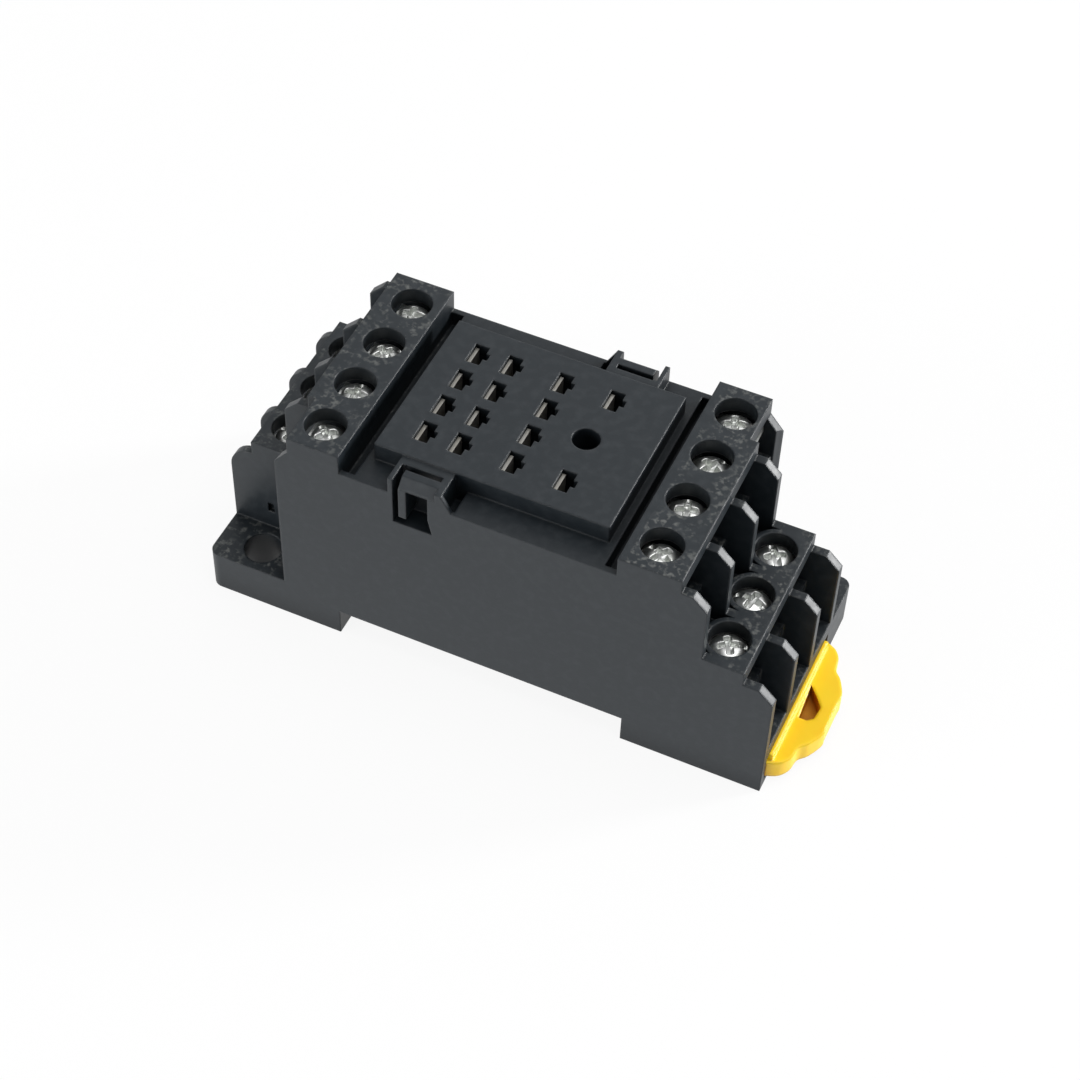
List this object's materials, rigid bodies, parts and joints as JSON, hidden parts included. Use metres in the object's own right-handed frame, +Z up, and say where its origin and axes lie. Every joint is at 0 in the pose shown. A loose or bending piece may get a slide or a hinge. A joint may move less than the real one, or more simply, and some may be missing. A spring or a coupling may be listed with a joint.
{
  "type": "relay socket",
  "caption": "Black moulded relay socket with two tiers of screw terminals at each end, a slotted relay seat, and a yellow sliding clip for a mounting rail.",
  "frame": {"origin": "centre of the rail channel, in the plane of the base", "axes": "+X along the socket towards the release end with the sliding clip, +Y along the mounting rail, +Z up, away from the rail"},
  "size_m": [0.0741, 0.0286, 0.0304],
  "materials": {
    "moulded_black": "fine satin moulded surface",
    "moulded_black_inner": "satin moulded surface",
    "yellow_plastic": "semi-gloss moulded surface",
    "tinned_contact": "tinned brass strip",
    "plated_clamp": "zinc plated",
    "plated_screw": "bright zinc plated"
  },
  "bodies": {
    "socket": {"housing": "moulded_black", "base_cover": "moulded_black_inner", "contact_1": "tinned_contact", "contact_2": "tinned_contact", "contact_3": "tinned_contact", "contact_4": "tinned_contact", "contact_5": "tinned_contact", "contact_6": "tinned_contact", "contact_7": "tinned_contact", "contact_8": "tinned_contact", "contact_9": "tinned_contact", "contact_10": "tinned_contact", "contact_11": "tinned_contact", "contact_12": "tinned_contact", "contact_13": "tinned_contact", "contact_14": "tinned_contact"},
    "rail_slider": {"rail_clip": "yellow_plastic"},
    "clamp_body_1": {"clamp_1": "plated_clamp"},
    "screw_body_1": {"screw_1": "plated_screw"},
    "clamp_body_2": {"clamp_2": "plated_clamp"},
    "screw_body_2": {"screw_2": "plated_screw"},
    "clamp_body_3": {"clamp_3": "plated_clamp"},
    "screw_body_3": {"screw_3": "plated_screw"},
    "clamp_body_4": {"clamp_4": "plated_clamp"},
    "screw_body_4": {"screw_4": "plated_screw"},
    "clamp_body_5": {"clamp_5": "plated_clamp"},
    "screw_body_5": {"screw_5": "plated_screw"},
    "clamp_body_6": {"clamp_6": "plated_clamp"},
    "screw_body_6": {"screw_6": "plated_screw"},
    "clamp_body_7": {"clamp_7": "plated_clamp"},
    "screw_body_7": {"screw_7": "plated_screw"},
    "clamp_body_8": {"clamp_8": "plated_clamp"},
    "screw_body_8": {"screw_8": "plated_screw"},
    "clamp_body_9": {"clamp_9": "plated_clamp"},
    "screw_body_9": {"screw_9": "plated_screw"},
    "clamp_body_10": {"clamp_10": "plated_clamp"},
    "screw_body_10": {"screw_10": "plated_screw"},
    "clamp_body_11": {"clamp_11": "plated_clamp"},
    "screw_body_11": {"screw_11": "plated_screw"},
    "clamp_body_12": {"clamp_12": "plated_clamp"},
    "screw_body_12": {"screw_12": "plated_screw"},
    "clamp_body_13": {"clamp_13": "plated_clamp"},
    "screw_body_13": {"screw_13": "plated_screw"},
    "clamp_body_14": {"clamp_14": "plated_clamp"},
    "screw_body_14": {"screw_14": "plated_screw"}
  },
  "joints": [
    {"name": "rail_clip_slide", "type": "slide", "parent": "socket", "child": "rail_slider", "axis": [1, 0, 0], "range_m": [0, 0.0025], "stiffness_N_per_m": 900},
    {"name": "clamp_slide_1", "type": "slide", "parent": "socket", "child": "clamp_body_1", "axis": [0, 0, -1], "range_m": [0, 0.0022]},
    {"name": "screw_turn_1", "type": "hinge", "parent": "clamp_body_1", "child": "screw_body_1", "pos_m": [-0.02035, -0.0105, 0.0271], "axis": [0, 0, -1], "range_deg": [0, 1584]},
    {"name": "clamp_slide_2", "type": "slide", "parent": "socket", "child": "clamp_body_2", "axis": [0, 0, -1], "range_m": [0, 0.0022]},
    {"name": "screw_turn_2", "type": "hinge", "parent": "clamp_body_2", "child": "screw_body_2", "pos_m": [-0.02035, -0.0035, 0.0271], "axis": [0, 0, -1], "range_deg": [0, 1584]},
    {"name": "clamp_slide_3", "type": "slide", "parent": "socket", "child": "clamp_body_3", "axis": [0, 0, -1], "range_m": [0, 0.0022]},
    {"name": "screw_turn_3", "type": "hinge", "parent": "clamp_body_3", "child": "screw_body_3", "pos_m": [-0.02035, 0.0035, 0.0271], "axis": [0, 0, -1], "range_deg": [0, 1584]},
    {"name": "clamp_slide_4", "type": "slide", "parent": "socket", "child": "clamp_body_4", "axis": [0, 0, -1], "range_m": [0, 0.0022]},
    {"name": "screw_turn_4", "type": "hinge", "parent": "clamp_body_4", "child": "screw_body_4", "pos_m": [-0.02035, 0.0105, 0.0271], "axis": [0, 0, -1], "range_deg": [0, 1584]},
    {"name": "clamp_slide_5", "type": "slide", "parent": "socket", "child": "clamp_body_5", "axis": [0, 0, -1], "range_m": [0, 0.0022]},
    {"name": "screw_turn_5", "type": "hinge", "parent": "clamp_body_5", "child": "screw_body_5", "pos_m": [0.01935, -0.0105, 0.0271], "axis": [0, 0, -1], "range_deg": [0, 1584]},
    {"name": "clamp_slide_6", "type": "slide", "parent": "socket", "child": "clamp_body_6", "axis": [0, 0, -1], "range_m": [0, 0.0022]},
    {"name": "screw_turn_6", "type": "hinge", "parent": "clamp_body_6", "child": "screw_body_6", "pos_m": [0.01935, -0.0035, 0.0271], "axis": [0, 0, -1], "range_deg": [0, 1584]},
    {"name": "clamp_slide_7", "type": "slide", "parent": "socket", "child": "clamp_body_7", "axis": [0, 0, -1], "range_m": [0, 0.0022]},
    {"name": "screw_turn_7", "type": "hinge", "parent": "clamp_body_7", "child": "screw_body_7", "pos_m": [0.01935, 0.0035, 0.0271], "axis": [0, 0, -1], "range_deg": [0, 1584]},
    {"name": "clamp_slide_8", "type": "slide", "parent": "socket", "child": "clamp_body_8", "axis": [0, 0, -1], "range_m": [0, 0.0022]},
    {"name": "screw_turn_8", "type": "hinge", "parent": "clamp_body_8", "child": "screw_body_8", "pos_m": [0.01935, 0.0105, 0.0271], "axis": [0, 0, -1], "range_deg": [0, 1584]},
    {"name": "clamp_slide_9", "type": "slide", "parent": "socket", "child": "clamp_body_9", "axis": [0, 0, -1], "range_m": [0, 0.0022]},
    {"name": "screw_turn_9", "type": "hinge", "parent": "clamp_body_9", "child": "screw_body_9", "pos_m": [-0.0289, -0.0035, 0.0165], "axis": [0, 0, -1], "range_deg": [0, 1584]},
    {"name": "clamp_slide_10", "type": "slide", "parent": "socket", "child": "clamp_body_10", "axis": [0, 0, -1], "range_m": [0, 0.0022]},
    {"name": "screw_turn_10", "type": "hinge", "parent": "clamp_body_10", "child": "screw_body_10", "pos_m": [-0.0289, 0.0035, 0.0165], "axis": [0, 0, -1], "range_deg": [0, 1584]},
    {"name": "clamp_slide_11", "type": "slide", "parent": "socket", "child": "clamp_body_11", "axis": [0, 0, -1], "range_m": [0, 0.0022]},
    {"name": "screw_turn_11", "type": "hinge", "parent": "clamp_body_11", "child": "screw_body_11", "pos_m": [-0.0289, 0.0105, 0.0165], "axis": [0, 0, -1], "range_deg": [0, 1584]},
    {"name": "clamp_slide_12", "type": "slide", "parent": "socket", "child": "clamp_body_12", "axis": [0, 0, -1], "range_m": [0, 0.0022]},
    {"name": "screw_turn_12", "type": "hinge", "parent": "clamp_body_12", "child": "screw_body_12", "pos_m": [0.0279, -0.0105, 0.0165], "axis": [0, 0, -1], "range_deg": [0, 1584]},
    {"name": "clamp_slide_13", "type": "slide", "parent": "socket", "child": "clamp_body_13", "axis": [0, 0, -1], "range_m": [0, 0.0022]},
    {"name": "screw_turn_13", "type": "hinge", "parent": "clamp_body_13", "child": "screw_body_13", "pos_m": [0.0279, -0.0035, 0.0165], "axis": [0, 0, -1], "range_deg": [0, 1584]},
    {"name": "clamp_slide_14", "type": "slide", "parent": "socket", "child": "clamp_body_14", "axis": [0, 0, -1], "range_m": [0, 0.0022]},
    {"name": "screw_turn_14", "type": "hinge", "parent": "clamp_body_14", "child": "screw_body_14", "pos_m": [0.0279, 0.0035, 0.0165], "axis": [0, 0, -1], "range_deg": [0, 1584]}
  ],
  "couplings": [
    {"joint": "screw_turn_1", "follows": "clamp_slide_1", "rad_per_m": 12566},
    {"joint": "screw_turn_2", "follows": "clamp_slide_2", "rad_per_m": 12566},
    {"joint": "screw_turn_3", "follows": "clamp_slide_3", "rad_per_m": 12566},
    {"joint": "screw_turn_4", "follows": "clamp_slide_4", "rad_per_m": 12566},
    {"joint": "screw_turn_5", "follows": "clamp_slide_5", "rad_per_m": 12566},
    {"joint": "screw_turn_6", "follows": "clamp_slide_6", "rad_per_m": 12566},
    {"joint": "screw_turn_7", "follows": "clamp_slide_7", "rad_per_m": 12566},
    {"joint": "screw_turn_8", "follows": "clamp_slide_8", "rad_per_m": 12566},
    {"joint": "screw_turn_9", "follows": "clamp_slide_9", "rad_per_m": 12566},
    {"joint": "screw_turn_10", "follows": "clamp_slide_10", "rad_per_m": 12566},
    {"joint": "screw_turn_11", "follows": "clamp_slide_11", "rad_per_m": 12566},
    {"joint": "screw_turn_12", "follows": "clamp_slide_12", "rad_per_m": 12566},
    {"joint": "screw_turn_13", "follows": "clamp_slide_13", "rad_per_m": 12566},
    {"joint": "screw_turn_14", "follows": "clamp_slide_14", "rad_per_m": 12566}
  ]
}
